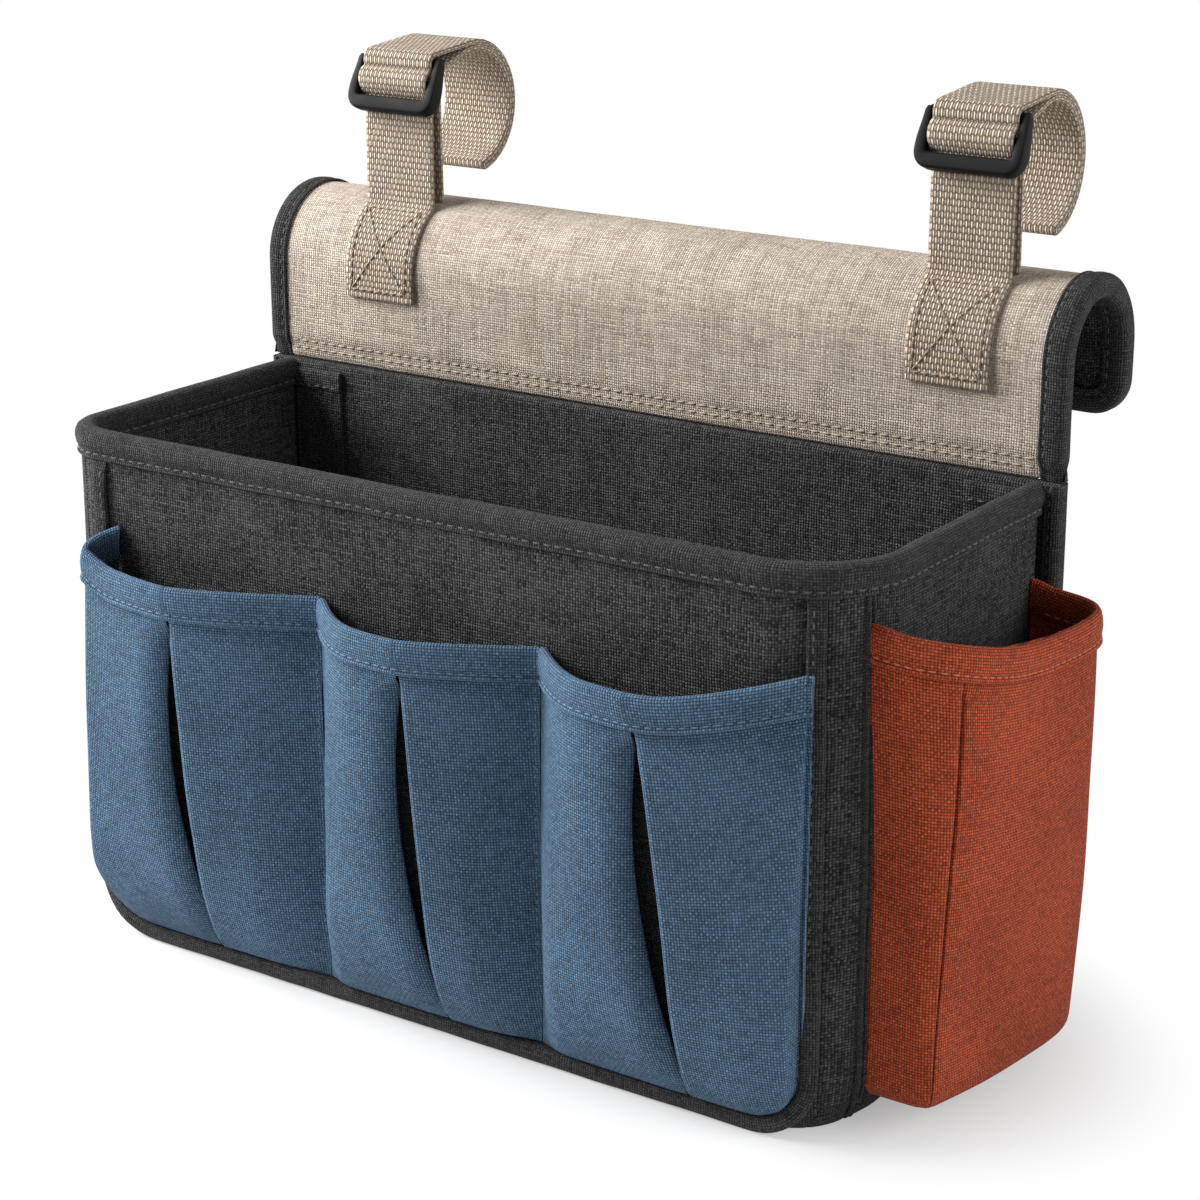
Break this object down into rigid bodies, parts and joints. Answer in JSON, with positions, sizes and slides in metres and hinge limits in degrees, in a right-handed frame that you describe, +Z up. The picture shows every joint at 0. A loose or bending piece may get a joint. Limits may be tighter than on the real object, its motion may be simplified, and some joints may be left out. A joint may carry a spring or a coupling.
{
  "type": "table-edge hanging caddy",
  "caption": "Soft-sided storage box that hangs from a bed rail or table edge by a U-shaped flap and buckled hook straps, with pleated front pockets and a side pocket.",
  "frame": {"origin": "middle of the base panel's flat underside", "axes": "+X to the right seen from the front, +Y from the front pockets towards the hanging flap, +Z up"},
  "size_m": [0.3698, 0.2133, 0.3178],
  "materials": {
    "charcoal_fabric": "charcoal heather woven polyester",
    "dark_tape": "dark woven binding tape and piping",
    "beige_linen": "beige slubby linen weave",
    "beige_webbing": "coarse beige basket-weave webbing",
    "blue_canvas": "mid-blue canvas",
    "rust_canvas": "rust orange canvas",
    "buckle_plastic": "satin black moulded plastic",
    "board": "plain grey stiffener sheet"
  },
  "bodies": {
    "caddy": {"front_panel": "charcoal_fabric", "front_board": "board", "left_corner": "charcoal_fabric", "right_corner": "charcoal_fabric", "left_wall": "charcoal_fabric", "left_board": "board", "right_wall": "charcoal_fabric", "right_board": "board", "left_seam_piping": "dark_tape", "right_seam_piping": "dark_tape", "left_facing": "charcoal_fabric", "right_facing": "charcoal_fabric", "base_panel": "charcoal_fabric", "base_board": "board", "rim_binding": "dark_tape", "front_piping": "dark_tape", "back_panel": "charcoal_fabric", "back_board": "board", "left_back_binding": "dark_tape", "right_back_binding": "dark_tape", "left_pocket": "blue_canvas", "left_pocket_hem": "blue_canvas", "middle_pocket": "blue_canvas", "middle_pocket_hem": "blue_canvas", "right_pocket": "blue_canvas", "right_pocket_hem": "blue_canvas", "side_pocket": "rust_canvas", "side_pocket_hem": "rust_canvas"},
    "flap": {"flap_cover": "beige_linen", "flap_lining": "charcoal_fabric", "flap_former": "board", "flap_binding": "dark_tape", "left_strap_riser": "beige_webbing", "right_strap_riser": "beige_webbing"},
    "left_slider": {"left_buckle": "buckle_plastic", "left_strap_tail": "beige_webbing"},
    "right_slider": {"right_buckle": "buckle_plastic", "right_strap_tail": "beige_webbing"},
    "left_hook": {"left_hook": "beige_webbing", "left_hook_former": "board"},
    "right_hook": {"right_hook": "beige_webbing", "right_hook_former": "board"}
  },
  "joints": [
    {"name": "flap_fold", "type": "hinge", "parent": "caddy", "child": "flap", "pos_m": [0, 0.067, 0.1951], "axis": [1, 0, 0], "range_deg": [-80, 65]},
    {"name": "left_buckle_slide", "type": "slide", "parent": "flap", "child": "left_slider", "axis": [0, 0, 1], "range_m": [0, 0.03]},
    {"name": "right_buckle_slide", "type": "slide", "parent": "flap", "child": "right_slider", "axis": [0, 0, 1], "range_m": [0, 0.03]},
    {"name": "left_hook_swing", "type": "hinge", "parent": "left_slider", "child": "left_hook", "pos_m": [-0.116, 0.08075, 0.31103], "axis": [1, 0, 0], "range_deg": [0, 100]},
    {"name": "right_hook_swing", "type": "hinge", "parent": "right_slider", "child": "right_hook", "pos_m": [0.128, 0.08075, 0.31103], "axis": [1, 0, 0], "range_deg": [0, 100]}
  ]
}
